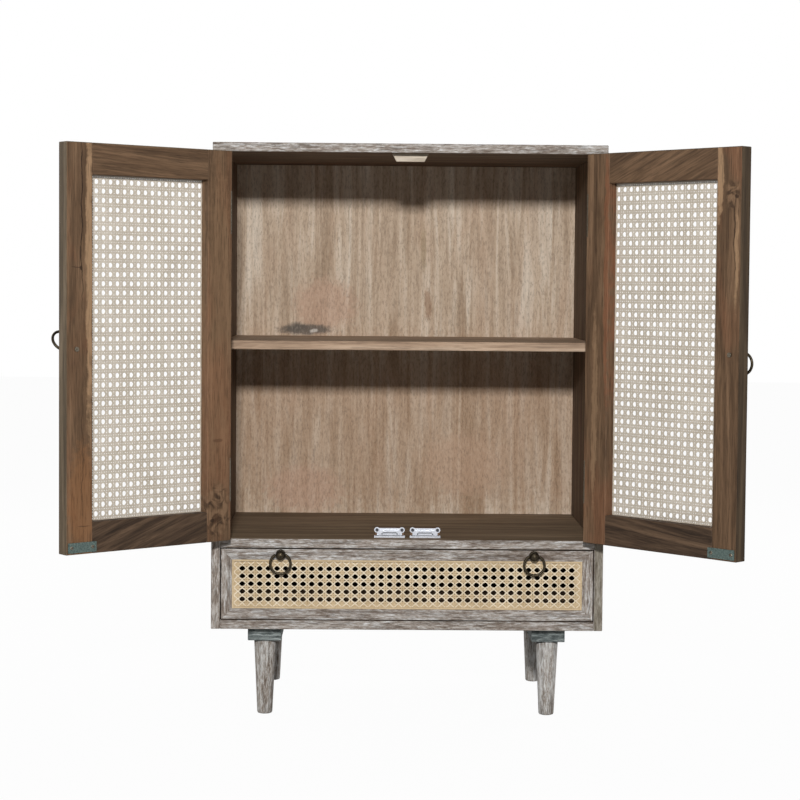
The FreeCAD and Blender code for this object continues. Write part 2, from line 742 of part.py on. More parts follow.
def make_catch(side):
    """A pressed catch: a body that holds the magnet, a foot strip, and two ears bored for screws."""
    x, width = span(side, "catch_inset", "catch_inset + catch_width")
    foot = make_box(x, f"{CATCH_FRONT} - catch_body_depth", CABINET_FLOOR, width,
                    "catch_body_depth + catch_plate", "catch_foot_height")
    margin = "(catch_width - catch_body_width) / 2"
    x, width = span(side, f"catch_inset + {margin}", f"catch_inset + {margin} + catch_body_width")
    body = make_box(x, f"{CATCH_FRONT} - catch_body_depth", CABINET_FLOOR, width,
                    "catch_body_depth + catch_plate", "catch_body_height")
    (near_x, ear_z), (far_x, _) = catch_ears(side)
    x, width = span(side, "catch_inset + catch_ear_diameter / 2",
                    "catch_inset + catch_width - catch_ear_diameter / 2")
    bridge = make_box(x, CATCH_FRONT, CABINET_FLOOR, width, "catch_plate", "catch_height - catch_plate")
    ears = [make_prism(x, CATCH_FRONT, ear_z, "catch_ear_diameter / 2", "catch_plate", "Y", ROUND_SIDES)
            for x in (near_x, far_x)]
    holes = [make_prism(x, f"{CATCH_FRONT} - overrun", ear_z, "catch_hole_diameter / 2",
                        "catch_plate + 2 * overrun", "Y") for x in (near_x, far_x)]
    return subtract(fuse([foot, body, bridge] + ears), group_of(holes))


def make_catch_block(side):
    """The small block behind a catch that its screws go into."""
    x, width = span(side, "catch_inset + catch_block_margin", "catch_inset + catch_width - catch_block_margin")
    block = make_box(x, f"({CATCH_FRONT} + catch_plate)", CABINET_FLOOR, width, "catch_block_depth",
                     "catch_height - catch_block_margin")
    radius = "(catch_hole_diameter / 2)"
    holes = [make_prism(x, CATCH_FRONT, z, radius, "catch_plate + catch_screw_length", "Y")
             for x, z in catch_ears(side)]
    return subtract(block, group_of(holes))


def make_catch_screw(x, z):
    shank = make_prism(x, CATCH_FRONT, z, "catch_hole_diameter / 2 - bolt_clearance",
                       "catch_plate + catch_screw_length - bolt_clearance", "Y")
    head = make_prism(x, f"({CATCH_FRONT} - catch_screw_head)", z, "catch_screw_head_diameter / 2",
                      "catch_screw_head", "Y")
    return fuse([shank, head])


def make_catches():
    sides = (LEFT, RIGHT)
    node(group_of([make_catch(side) for side in sides]), "magnetic_catches", "carcass")
    node(group_of([make_catch_block(side) for side in sides]), "catch_blocks", "carcass")
    screws = [make_catch_screw(x, z) for side in sides for x, z in catch_ears(side)]
    node(group_of(screws), "catch_screws", "carcass")


def make_strike_plate(side):
    group = f"{SIDE_NAMES[side]}_door"
    x, width = span(side, f"{DOOR_FREE} + strike_inset_x", f"{DOOR_FREE} + strike_inset_x + strike_width")
    loop = rectangle(x, f"({DOOR_LOW} + strike_inset_z)", width, "strike_height")
    body = new_body(f"{group}_strike_plate")
    pad(body, "XZ", [loop], "door_thickness", "strike_thickness")
    node(body, f"{group}_strike_plate", group)


# Drawer

def make_drawer_front():
    inner_half = f"({FRONT_HALF} - drawer_frame_width)"
    inner_low = f"({FRONT_LOW} + drawer_frame_width)"
    inner_high = f"({FRONT_HIGH} - drawer_frame_width)"
    outlines = {
        "top_rail": [(f"-{FRONT_HALF}", FRONT_HIGH), (FRONT_HALF, FRONT_HIGH),
                     (inner_half, inner_high), (f"-{inner_half}", inner_high)],
        "bottom_rail": [(f"-{FRONT_HALF}", FRONT_LOW), (FRONT_HALF, FRONT_LOW),
                        (inner_half, inner_low), (f"-{inner_half}", inner_low)],
        "left_stile": [(f"-{FRONT_HALF}", FRONT_LOW), (f"-{FRONT_HALF}", FRONT_HIGH),
                       (f"-{inner_half}", inner_high), (f"-{inner_half}", inner_low)],
        "right_stile": [(FRONT_HALF, FRONT_LOW), (FRONT_HALF, FRONT_HIGH),
                        (inner_half, inner_high), (inner_half, inner_low)],
    }
    rebate = rectangle(f"-({inner_half} + bead_width)", f"({inner_low} - bead_width)",
                       f"2 * ({inner_half} + bead_width)", f"({inner_high} - {inner_low} + 2 * bead_width)")
    pull_z = f"({FRONT_HIGH} - (drawer_frame_width - bead_width) / 2)"
    for piece, loop in outlines.items():
        name = f"drawer_front_{piece}"
        body = new_body(name)
        feature = pad(body, "XZ", [loop], "0", "drawer_front_thickness")
        ease(body, feature, "edge_ease / 2")
        cut(body, "XZ", rebate, "-overrun", "cane_rebate_depth + overrun")
        if piece == "top_rail":
            centres = [(f"{side} * drawer_pull_spread / 2", pull_z) for side in (LEFT, RIGHT)]
            drill(body, "XZ", centres, "pull_bolt_diameter / 2 + bolt_clearance", "-overrun",
                  "drawer_front_thickness + 2 * overrun")
        node(body, name, "drawer")

    make_bead("drawer_bead", "drawer", (f"-{inner_half}", inner_low, f"2 * {inner_half}",
                                        f"({inner_high} - {inner_low})"))
    width = size("cabinet_width") - 2 * (size("board") + size("drawer_gap") + size("drawer_frame_width"))
    height = size("drawer_opening_height") - 2 * (size("drawer_gap") + size("drawer_frame_width"))
    middle = size("leg_length") + size("rail_height") + size("board") + size("drawer_opening_height") / 2
    make_cane("drawer_cane", "drawer", 0, middle, width, height, "drawer_net")


SIDE_LOW = f"({DRAWER_FLOOR} + drawer_lift)"
DRAWER_START = "drawer_front_thickness"
RUNNER_LOW = f"({SIDE_LOW} + (drawer_side_height - runner_height) / 2)"
GROOVE_DEPTH = "(runner_thickness - drawer_gap + runner_clearance)"
BOTTOM_LOW = f"({SIDE_LOW} + drawer_bottom_rise)"
BOX_INNER = f"({FRONT_HALF} - drawer_side_thickness)"


def make_drawer_side(side):
    name = f"drawer_{SIDE_NAMES[side]}_side"
    x, width = span(side, BOX_INNER, FRONT_HALF)
    body = new_body(name)
    pad(body, "XZ", [rectangle(x, SIDE_LOW, width, "drawer_side_height")], DRAWER_START, "drawer_length")
    # groove that runs on the cabinet's runner
    x, width = span(side, f"{FRONT_HALF} - {GROOVE_DEPTH}", f"{FRONT_HALF} + overrun")
    groove = rectangle(x, f"({RUNNER_LOW} - runner_clearance)", width, "runner_height + 2 * runner_clearance")
    cut(body, "XZ", groove, "runner_setback - runner_clearance", "drawer_length + overrun")
    # groove that holds the bottom
    x, width = span(side, f"{BOX_INNER} - overrun", f"{BOX_INNER} + drawer_bottom_groove")
    groove = rectangle(x, f"({BOTTOM_LOW} - drawer_bottom_clearance)", width,
                       "drawer_bottom_thickness + 2 * drawer_bottom_clearance")
    cut(body, "XZ", groove, f"{DRAWER_START} - overrun", "drawer_length + 2 * overrun")
    node(body, name, "drawer")


def make_drawer_box():
    for side in (LEFT, RIGHT):
        make_drawer_side(side)
    back = new_body("drawer_back")
    low = f"({BOTTOM_LOW} + drawer_bottom_thickness + drawer_bottom_clearance)"
    loop = rectangle(f"-{BOX_INNER}", low, f"2 * {BOX_INNER}", f"({SIDE_LOW} + drawer_side_height - {low})")
    pad(back, "XZ", [loop], f"({DRAWER_START} + drawer_length - drawer_back_thickness)", "drawer_back_thickness")
    node(back, "drawer_back", "drawer")

    floor = new_body("drawer_bottom")
    half = f"({BOX_INNER} + drawer_bottom_groove - drawer_bottom_clearance)"
    loop = rectangle(f"-{half}", DRAWER_START, f"2 * {half}", "drawer_length")
    pad(floor, "XY", [loop], BOTTOM_LOW, "drawer_bottom_thickness")
    node(floor, "drawer_bottom", "drawer")


def make_runner(side):
    name = f"{SIDE_NAMES[side]}_drawer_runner"
    x, width = span(side, f"{INNER} - runner_thickness", INNER)
    body = new_body(name)
    pad(body, "XZ", [rectangle(x, RUNNER_LOW, width, "runner_height")], "runner_setback", "runner_length")
    node(body, name, "carcass")


def check_model():
    """Stops if any object failed, or any sub-part has no valid solid."""
    failed = [item.Name for item in doc.Objects if "Invalid" in item.State or "Error" in item.State]
    if failed:
        raise RuntimeError(f"failed objects: {failed}")
    for item in nodes:
        if item.Shape.isNull() or not item.Shape.isValid() or not item.Shape.Solids:
            raise RuntimeError(f"{item.Label} has no valid solid")


make_panels()
for hand in (LEFT, RIGHT):
    make_side(hand)
    make_leg_rail(hand)
    make_runner(hand)
    make_door_frame(hand)
    make_door_pull(hand)
    make_strike_plate(hand)
make_shelf()
make_stop_block()
for leg_place in leg_places():
    make_leg(*leg_place)
make_leg_bolts()
make_hinges()
make_catches()
make_drawer_front()
make_drawer_box()
make_drawer_pulls()

doc.recompute()
check_model()
os.makedirs(PARTS_FOLDER, exist_ok=True)
for sub_part in nodes:
    sub_part.Shape.exportStep(f"{PARTS_FOLDER}/{sub_part.Label}.step")
print(f"{len(nodes)} sub-parts written")
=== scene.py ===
import json
import math

import bmesh
import bpy
from mathutils import Matrix, Vector

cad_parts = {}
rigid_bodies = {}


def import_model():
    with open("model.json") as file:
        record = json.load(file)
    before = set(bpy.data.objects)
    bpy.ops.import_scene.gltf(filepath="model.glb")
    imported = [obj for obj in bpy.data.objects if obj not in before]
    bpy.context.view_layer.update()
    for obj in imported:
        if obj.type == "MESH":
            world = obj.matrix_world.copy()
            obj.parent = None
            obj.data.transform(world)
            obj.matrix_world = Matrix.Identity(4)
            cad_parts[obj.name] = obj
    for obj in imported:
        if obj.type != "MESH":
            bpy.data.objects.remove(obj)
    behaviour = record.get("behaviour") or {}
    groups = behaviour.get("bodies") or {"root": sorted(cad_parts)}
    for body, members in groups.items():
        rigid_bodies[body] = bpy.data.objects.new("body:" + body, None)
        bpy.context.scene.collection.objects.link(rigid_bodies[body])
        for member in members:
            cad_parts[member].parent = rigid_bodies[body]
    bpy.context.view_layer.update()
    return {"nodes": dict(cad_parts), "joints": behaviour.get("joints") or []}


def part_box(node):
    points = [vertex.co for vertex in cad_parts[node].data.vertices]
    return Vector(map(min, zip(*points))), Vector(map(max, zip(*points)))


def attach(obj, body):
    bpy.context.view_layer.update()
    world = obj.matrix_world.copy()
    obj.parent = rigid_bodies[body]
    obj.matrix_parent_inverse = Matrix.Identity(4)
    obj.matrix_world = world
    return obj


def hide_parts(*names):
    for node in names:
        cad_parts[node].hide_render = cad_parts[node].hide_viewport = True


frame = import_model()
nodes = frame["nodes"]
joints = {joint["name"]: joint for joint in frame["joints"]}

# Places in metres, read from the frame

SIDES = {"left": -1, "right": 1}
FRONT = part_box("left_side_panel")[0].y
DRAWER_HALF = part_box("drawer_front_right_stile")[1].x
DRAWER_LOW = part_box("drawer_front_bottom_rail")[0].z
DRAWER_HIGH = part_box("drawer_front_top_rail")[1].z
DOOR_ANGLES = {}
PINS = {}
for side in SIDES:
    hinge = joints[f"{side}_door_hinge"]
    DOOR_ANGLES[side] = -math.radians(hinge["range_deg"][0]) * hinge["axis"][2]
    PINS[side] = Vector((hinge["pos_m"][0], hinge["pos_m"][1], 0))


def opened(side):
    """Where a point drawn with the door shut goes with the door open."""
    pin = PINS[side]
    return Matrix.Translation(pin) @ Matrix.Rotation(DOOR_ANGLES[side], 4, "Z") @ Matrix.Translation(-pin)


def shut_box(side, *names):
    """The lowest and highest corners of a door's pieces with the door shut."""
    turn = opened(side).inverted()
    points = [turn @ vertex.co for name in names for vertex in nodes[name].data.vertices]
    return [Vector([pick(values) for values in zip(*points)]) for pick in (min, max)]


def srgb(red, green, blue):
    """A display colour of 0 to 255 as the linear colour that shaders take."""
    def linear(value):
        share = value / 255
        return share / 12.92 if share <= 0.04045 else ((share + 0.055) / 1.055) ** 2.4
    return (linear(red), linear(green), linear(blue), 1)


def darker(colour, share):
    return tuple(value * share for value in colour)


# Materials

RAG_SCALE = 85
RAG_DEPTH = 1.2
RAG_OUTSIDE = 1.85
RAG_INSIDE = 1.35


class Shader:
    """A material's node tree, built one node at a time."""

    def __init__(self, name):
        self.material = bpy.data.materials.new(name)
        self.material.use_nodes = True
        self.tree = self.material.node_tree
        self.surface = self.tree.nodes["Principled BSDF"]

    def add(self, kind, settings=None, **inputs):
        made = self.tree.nodes.new(kind)
        for key, value in (settings or {}).items():
            setattr(made, key, value)
        for key, value in inputs.items():
            self.put(made.inputs[key.replace("_", " ")], value)
        return made

    def put(self, socket, value):
        if isinstance(value, bpy.types.NodeSocket):
            self.tree.links.new(value, socket)
        else:
            socket.default_value = value

    def place(self, side=None, slant=0.0):
        """The piece's own coordinates: on a door those of the shut door, which may be turned in its face."""
        point = self.add("ShaderNodeTexCoord").outputs["Object"]
        if side:
            point = self.add("ShaderNodeVectorRotate", {"rotation_type": "Z_AXIS"}, Vector=point,
                             Center=PINS[side], Angle=-DOOR_ANGLES[side]).outputs["Vector"]
        if slant:
            point = self.add("ShaderNodeVectorRotate", {"rotation_type": "Y_AXIS"}, Vector=point,
                             Angle=slant).outputs["Vector"]
        return point

    def mapped(self, point, scale=(1, 1, 1), offset=(0, 0, 0)):
        return self.add("ShaderNodeMapping", Vector=point, Scale=scale, Location=offset).outputs["Vector"]

    def noise(self, where, scale, detail=4.0, roughness=0.55, distortion=0.0):
        made = self.add("ShaderNodeTexNoise", Vector=where, Scale=scale, Detail=detail, Roughness=roughness,
                        Distortion=distortion)
        return made.outputs["Fac"]

    def warped(self, point, scale, amount):
        """The point moved aside a little, so that what is drawn there wanders."""
        field = self.add("ShaderNodeTexNoise", Vector=point, Scale=scale, Detail=3.0)
        moved = self.add("ShaderNodeVectorMath", {"operation": "MULTIPLY_ADD"})
        self.put(moved.inputs[0], field.outputs["Color"])
        self.put(moved.inputs[1], (amount,) * 3)
        self.put(moved.inputs[2], self.mapped(point, offset=(-amount / 2,) * 3))
        return moved.outputs["Vector"]

    def ramp(self, factor, *stops):
        made = self.add("ShaderNodeValToRGB", Fac=factor)
        elements = made.color_ramp.elements
        while len(elements) < len(stops):
            elements.new(1.0)
        for element, (place, colour) in zip(elements, stops):
            element.position = place
            element.color = colour
        return made.outputs["Color"]

    def mask(self, factor, none, full):
        """Zero where the factor has the one value, one where it has the other, and a slope between."""
        made = self.add("ShaderNodeMapRange", Value=factor, From_Min=none, From_Max=full)
        return made.outputs["Result"]

    def mix(self, factor, first, second):
        made = self.add("ShaderNodeMix", {"data_type": "RGBA"})
        self.put(made.inputs[0], factor)
        self.put(made.inputs[6], first)
        self.put(made.inputs[7], second)
        return made.outputs[2]

    def scaled(self, value, factor):
        made = self.add("ShaderNodeMath", {"operation": "MULTIPLY"})
        self.put(made.inputs[0], value)
        self.put(made.inputs[1], factor)
        return made.outputs[0]

    def spot(self, point, entry):
        """How much of a mark, an oval with a ragged edge on an upright face, covers a point."""
        scale = (1 / entry["half_width"], 0, 1 / entry["half_length"])
        offset = (-entry["x"] / entry["half_width"], 0, -entry["z"] / entry["half_length"])
        reach = self.add("ShaderNodeVectorMath", {"operation": "LENGTH"})
        self.put(reach.inputs[0], self.mapped(point, scale, offset))
        ragged = self.add("ShaderNodeMath", {"operation": "MULTIPLY_ADD"})
        self.put(ragged.inputs[0], self.noise(point, RAG_SCALE, roughness=0.7))
        self.put(ragged.inputs[1], RAG_DEPTH)
        self.put(ragged.inputs[2], reach.outputs["Value"])
        return self.scaled(self.mask(ragged.outputs[0], RAG_OUTSIDE, RAG_INSIDE), entry["strength"])

    def finish(self, colour, roughness, height=None, depth=0.0003, metallic=0.0, specular=0.35):
        self.put(self.surface.inputs["Base Color"], colour)
        self.put(self.surface.inputs["Roughness"], roughness)
        self.put(self.surface.inputs["Metallic"], metallic)
        self.put(self.surface.inputs["Specular IOR Level"], specular)
        if height is not None:
            bump = self.add("ShaderNodeBump", Height=height, Distance=depth, Strength=0.8)
            self.put(self.surface.inputs["Normal"], bump.outputs["Normal"])
        return self.material


# Wood

FIGURE_STOPS = (0.33, 0.5, 0.67)
WASH_STOPS = (0.39, 0.47, 0.53, 0.61)
SWIRL_STOPS = (0.38, 0.5, 0.62)
COVER_LIFT = 0.12
BLUSH_SHARE = 0.4
WANDER_SCALE = 24
WANDER = 0.014
SWIRL_SCALE = 40
WOOD_ROUGHNESS = 0.7
WOOD_SPECULAR = 0.15
GRAIN_DEPTH = 0.0005


def mark(x, z, half_width, half_length, tone, strength):
    """A knot, a crack, a strip of another tone or swirled grain, on an upright face of the shut cabinet."""
    return {"x": x, "z": z, "half_width": half_width, "half_length": half_length, "tone": tone,
            "strength": strength}


def wood(name, tones, grain="Z", side=None, slant=0.0, shift=0.0, blush=None, contrast=0.35, pores=0.35,
         fleck=24, wash=None, cover=0.5, marks=()):
    """Wood with a broad figure, growth lines and pores along its grain, or under a worn pale wash."""
    dark, mid, light = tones
    shader = Shader(name)
    point = shader.place(side, slant)

    def field(across, along, seed, detail=4.0, roughness=0.62, distortion=0.4):
        """Noise of one fineness across the grain and another along it."""
        scale = tuple(along if axis == grain else across for axis in "XYZ")
        place = shader.mapped(point, scale, (shift + seed,) * 3)
        return shader.noise(place, 1.0, detail, roughness, distortion)

    lines = field(across=160, along=6, seed=3, distortion=0.7)
    fibre = field(across=420, along=fleck, seed=7, detail=3.0, roughness=0.65, distortion=0.0)
    if wash:
        zone = field(across=16, along=3, seed=17, detail=3.0, roughness=0.6, distortion=0.6)
        patch = field(across=110, along=15, seed=19, detail=5.0, roughness=0.7, distortion=0.9)
        scuff = field(across=360, along=70, seed=23, roughness=0.78, distortion=0.3)
        worn = shader.mix(0.55, shader.mix(0.4, patch, zone), scuff)
        lift = COVER_LIFT * (cover - 0.5)
        stops = [stop - lift for stop in WASH_STOPS]
        colour = shader.ramp(worn, *zip(stops, (srgb(*tone) for tone in (dark, mid, light, wash))))
    else:
        figure = field(across=34, along=2.4, seed=0, detail=5.0, distortion=1.1)
        colour = shader.ramp(figure, *zip(FIGURE_STOPS, (srgb(*tone) for tone in tones)))
    if blush:
        zone = field(across=15, along=3.2, seed=11, detail=3.0, roughness=0.6, distortion=0.5)
        patch = shader.mask(zone, none=0.5, full=0.64)
        colour = shader.mix(shader.scaled(patch, BLUSH_SHARE), colour, srgb(*blush))
    late = shader.scaled(shader.mask(lines, none=0.52, full=0.36), contrast)
    colour = shader.mix(late, colour, srgb(*darker(dark, 0.7)))
    early = shader.scaled(shader.mask(lines, none=0.54, full=0.7), contrast)
    colour = shader.mix(early, colour, srgb(*light))
    if marks:
        face = shader.warped(shader.place(side), WANDER_SCALE, WANDER)
        turned = shader.noise(face, SWIRL_SCALE, detail=2.0, roughness=0.5, distortion=2.0)
        swirl_tones = (darker(dark, 0.75), mid, light)
        swirl = shader.ramp(turned, *zip(SWIRL_STOPS, (srgb(*tone) for tone in swirl_tones)))
        for entry in marks:
            tone = srgb(*entry["tone"]) if entry["tone"] else swirl
            colour = shader.mix(shader.spot(face, entry), colour, tone)
    pore = shader.scaled(shader.mask(fibre, none=0.5, full=0.35), pores)
    colour = shader.mix(pore, colour, srgb(*darker(dark, 0.55)))
    ridge = shader.scaled(shader.mask(fibre, none=0.54, full=0.7), 0.5 * pores)
    colour = shader.mix(ridge, colour, srgb(*(wash or light)))
    height = shader.mix(0.5, lines, fibre)
    return shader.finish(colour, WOOD_ROUGHNESS, height, GRAIN_DEPTH, specular=WOOD_SPECULAR)


WASH = (212, 212, 211)
LEG_WASH = (214, 214, 212)
RAIL_WASH = (172, 178, 177)
FRONT_WASH = (166, 161, 152)
WASHED = ((98, 84, 73), (137, 125, 115), (168, 161, 154))
LEG_TONES = ((88, 72, 60), (141, 131, 121), (181, 177, 172))
# The leg rails' own blue-grey, darkened throughout as painted shade from the carcass above them.
RAIL_GREY_AND_SHADE_TONES = ((50, 56, 56), (90, 97, 96), (130, 137, 135))
FRONT_TONES = ((94, 86, 74), (122, 114, 101), (144, 137, 125))
INNER_TONES = ((68, 53, 41), (103, 83, 65), (130, 108, 87))
FLOOR_TONES = ((92, 76, 59), (122, 103, 82), (146, 126, 103))
SHELF_TONES = ((130, 107, 87), (171, 145, 122), (195, 172, 149))
BACK_TONES = ((161, 138, 115), (189, 168, 146), (212, 197, 179))
BOX_TONES = ((84, 66, 50), (116, 94, 73), (142, 118, 94))
BLOCK_TONES = ((132, 115, 95), (180, 166, 147), (206, 194, 178))
DOOR_TONES = ((80, 61, 45), (103, 80, 60), (124, 98, 75))
RAIL_TONES = {
    "top": ((74, 56, 41), (97, 75, 56), (117, 92, 70)),
    "bottom": ((46, 35, 27), (76, 60, 47), (106, 85, 67)),
}
EDGE_TONES = {
    "left": ((72, 60, 46), (102, 88, 70), (128, 112, 92)),
    "right": ((48, 37, 26), (70, 56, 41), (92, 77, 59)),
}
RED = (126, 82, 58)
TAN = (158, 128, 98)
KNOT = (42, 30, 22)
KNOT_GREY = (86, 80, 74)
SWIRL = None

BACK_MARKS = [
    mark(0.0, 0.490, 0.900, 0.170, (134, 90, 49), 0.3),
    mark(-0.160, 0.735, 0.060, 0.050, (182, 150, 128), 0.7),
    mark(-0.198, 0.687, 0.050, 0.010, KNOT_GREY, 0.85),
    mark(-0.215, 0.692, 0.020, 0.009, KNOT_GREY, 0.6),
    mark(-0.181, 0.684, 0.007, 0.004, (200, 192, 182), 0.8),
    mark(0.043, 0.738, 0.007, 0.030, (146, 114, 88), 0.7),
    mark(0.036, 0.850, 0.006, 0.040, (158, 138, 110), 0.6),
    mark(0.120, 0.420, 0.080, 0.060, (180, 150, 126), 0.6),
    mark(-0.200, 0.370, 0.070, 0.045, (180, 146, 124), 0.6),
]
STILE_MARKS = {
    "left": {
        "free_stile": [
            mark(-0.046, 0.800, 0.0060, 0.260, TAN, 0.85),
            mark(-0.032, 0.410, 0.0260, 0.090, (134, 94, 62), 0.6),
            mark(-0.032, 0.965, 0.0011, 0.050, KNOT, 0.85),
            mark(-0.032, 0.888, 0.0013, 0.056, KNOT, 0.9),
            mark(-0.032, 0.825, 0.0011, 0.040, KNOT, 0.85),
            mark(-0.032, 0.770, 0.0010, 0.044, KNOT, 0.6),
            mark(-0.031, 0.803, 0.0026, 0.004, KNOT, 0.9),
            mark(-0.023, 0.804, 0.0100, 0.001, KNOT, 0.6),
            mark(-0.033, 0.500, 0.0010, 0.140, KNOT, 0.5),
            mark(-0.034, 0.372, 0.0100, 0.001, KNOT, 0.5),
        ],
        "hinge_stile": [
            mark(-0.304, 0.700, 0.0300, 0.300, (170, 136, 103), 0.16),
            mark(-0.302, 0.503, 0.0100, 0.003, darker(RED, 0.6), 0.5),
            mark(-0.303, 0.380, 0.0220, 0.048, SWIRL, 0.9),
            mark(-0.300, 0.368, 0.0070, 0.009, (66, 46, 32), 0.7),
            mark(-0.294, 0.364, 0.0040, 0.003, KNOT, 0.8),
        ],
    },
    "right": {
        "free_stile": [
            mark(0.046, 0.960, 0.0060, 0.070, TAN, 0.85),
            mark(0.010, 0.830, 0.0035, 0.080, TAN, 0.7),
            mark(0.018, 0.928, 0.0150, 0.026, SWIRL, 0.85),
            mark(0.012, 0.926, 0.0040, 0.003, KNOT, 0.8),
            mark(0.015, 0.885, 0.0012, 0.040, KNOT, 0.8),
            mark(0.014, 0.830, 0.0010, 0.040, KNOT, 0.6),
        ],
        "hinge_stile": [
            mark(0.286, 0.800, 0.0050, 0.220, RED, 0.7),
            mark(0.310, 0.560, 0.0060, 0.150, TAN, 0.4),
        ],
    },
}
RAIL_SLANTS = {"left": {"top": 0.06, "bottom": -0.34}, "right": {"top": -0.42, "bottom": 0.10}}


def whitewash(name, grain, side=None):
    """The worn pale finish of the cabinet's outside."""
    return wood(name, WASHED, grain, side, wash=WASH, fleck=46, contrast=0.5, pores=0.5)


pale = {axis: whitewash(f"whitewashed_{axis}", axis) for axis in "XZ"}
leg_pale = wood("whitewashed_leg", LEG_TONES, "Z", wash=LEG_WASH, cover=0.6, fleck=46, contrast=0.5)
# Partly painted shade: the leg rails are their own washed grey, made darker for the shadow of the carcass.
rail_grey_and_shade = wood("grey_rail_and_painted_shade", RAIL_GREY_AND_SHADE_TONES, "X", wash=RAIL_WASH, cover=0.3, contrast=0.5)
front_grey = wood("grey_front_edge", FRONT_TONES, "Z", wash=FRONT_WASH, cover=0.4)
inner = {axis: wood(f"inner_brown_{axis}", INNER_TONES, axis, blush=darker(RED, 0.8)) for axis in "XZ"}
shelf_brown = wood("shelf_brown", SHELF_TONES, "X")
floor_brown = wood("floor_brown", FLOOR_TONES, "X", contrast=0.25)
back_tan = wood("back_veneer", BACK_TONES, "Z", blush=(182, 154, 130), contrast=0.24, pores=0.36, fleck=130,
                marks=BACK_MARKS)
back_plain = wood("back_outside", BACK_TONES, "Z", contrast=0.22, pores=0.28, fleck=130)
drawer_wood = {axis: wood(f"drawer_box_wood_{axis}", BOX_TONES, axis) for axis in "XY"}
# Painted shade: the drawer front's outer edges take the dark edge tones of the right door, so that the gap
# round the drawer shows dark.
drawer_gap_shade = {axis: wood(f"drawer_edge_{axis}", EDGE_TONES["right"], axis) for axis in "XZ"}
block_pale = wood("stop_block_pale", BLOCK_TONES, "X", pores=0.3)
door_stiles = {
    side: {piece: wood(f"{side}_door_{piece}_brown", DOOR_TONES, "Z", side, shift=shift, blush=RED,
                       contrast=0.36, pores=0.4, fleck=30, marks=marks)
           for shift, (piece, marks) in enumerate(STILE_MARKS[side].items(), start=5 * SIDES[side])}
    for side in SIDES
}
door_rails = {
    side: {end: wood(f"{side}_door_{end}_rail_brown", RAIL_TONES[end], "X", side, slant, 3 * slant,
                     contrast=0.5, pores=0.4, fleck=30)
           for end, slant in RAIL_SLANTS[side].items()}
    for side in SIDES
}
door_outside = {side: {axis: whitewash(f"{side}_door_washed_{axis}", axis, side) for axis in "XZ"}
                for side in SIDES}
door_edges = {side: {axis: wood(f"{side}_door_edge_{axis}", EDGE_TONES[side], axis, side) for axis in "XZ"}
              for side in SIDES}


# Cane and metal

def cane(name, dark, light, side=None):
    """Split cane: strands that vary a little along their length."""
    shader = Shader(name)
    point = shader.place(side)
    field = shader.noise(point, 300, roughness=0.6)
    broad = shader.noise(point, 20, detail=2.0)
    colour = shader.ramp(shader.mix(0.4, field, broad), (0.36, srgb(*dark)), (0.62, srgb(*light)))
    return shader.finish(colour, roughness=0.5, height=field, depth=0.0001)


def metal(name, dark, light, roughness, metallic=1.0, scale=500, depth=0.0002):
    """Metal with small hammer marks and blotches of tarnish."""
    shader = Shader(name)
    point = shader.place()
    field = shader.noise(point, scale, roughness=0.6)
    colour = shader.ramp(field, (0.35, srgb(*dark)), (0.65, srgb(*light)))
    return shader.finish(colour, roughness, field, depth, metallic, specular=0.5)


# Partly painted highlight: the door bead's own pale tan is made lighter, so that the flat bead shows the
# bright line of a rounded bead.
bead_tan_and_highlight = cane("bead_cane", (214, 198, 168), (236, 224, 200))
drawer_bead_tan = cane("drawer_bead_cane", (176, 152, 116), (204, 182, 148))
door_canes = {side: (cane(f"{side}_door_cane_pairs", (174, 163, 147), (200, 191, 178), side),
                     cane(f"{side}_door_cane_slants", (190, 181, 167), (215, 207, 195), side))
              for side in SIDES}
drawer_canes = (cane("drawer_cane_pairs", (172, 148, 112), (202, 180, 145)),
                cane("drawer_cane_slants", (200, 184, 156), (226, 213, 190)))
bronze = metal("antique_bronze", (30, 27, 22), (70, 62, 49), roughness=0.42)
zinc = metal("zinc", (66, 80, 77), (104, 119, 114), roughness=0.45, metallic=0.8)
silver = metal("bright_plate", (160, 163, 170), (206, 209, 216), roughness=0.36, metallic=0.5, scale=700,
               depth=0.0001)
# Painted shade: a dark metal for the catch screws in the ear holes, the seams and dimples of the catches and
# the slots of the plate screws.
recess_shade_black = metal("dark_recess_painted_shade", (34, 34, 38), (58, 58, 64), roughness=0.6, metallic=0.4)
hinge_steel = metal("hinge_steel", (84, 78, 68), (128, 120, 106), roughness=0.4)


# Finish of the CAD pieces

SQUARE_ON = 0.9
MOSTLY = 0.5
EDGE_MARGIN = 0.002
INSIDE_X = 0.3399


def paint(name, *materials, choose=None):
    """Gives a CAD node its material, or several with a rule for which face takes which."""
    mesh = nodes[name].data
    mesh.materials.clear()
    for material in materials:
        mesh.materials.append(material)
    for face in mesh.polygons:
        face.material_index = choose(face.center, face.normal) if choose else 0


def facing_up(centre, normal):
    return int(normal.z > SQUARE_ON)


def facing_down(centre, normal):
    return int(normal.z < -SQUARE_ON)


def facing_up_or_down(centre, normal):
    return int(abs(normal.z) > SQUARE_ON)


def facing_front(centre, normal):
    return int(normal.y < -SQUARE_ON)


def facing_inside(centre, normal):
    """The second material goes on the faces that look into the cabinet."""
    return int(abs(normal.x) > SQUARE_ON and abs(centre.x) < INSIDE_X)


def facing_inside_or_front(centre, normal):
    """The second material goes on the faces that look into the cabinet, and the third on the front edge."""
    return 2 if normal.y < -SQUARE_ON else facing_inside(centre, normal)


def drawer_faces(centre, normal):
    """The second material goes on the outer edges of the drawer's front, dark as painted shade for the gap
    round the drawer.
    """
    at_side = abs(normal.x) > SQUARE_ON and abs(centre.x) > DRAWER_HALF - EDGE_MARGIN
    between = DRAWER_LOW + EDGE_MARGIN < centre.z < DRAWER_HIGH - EDGE_MARGIN
    return int(at_side or abs(normal.z) > SQUARE_ON and not between)


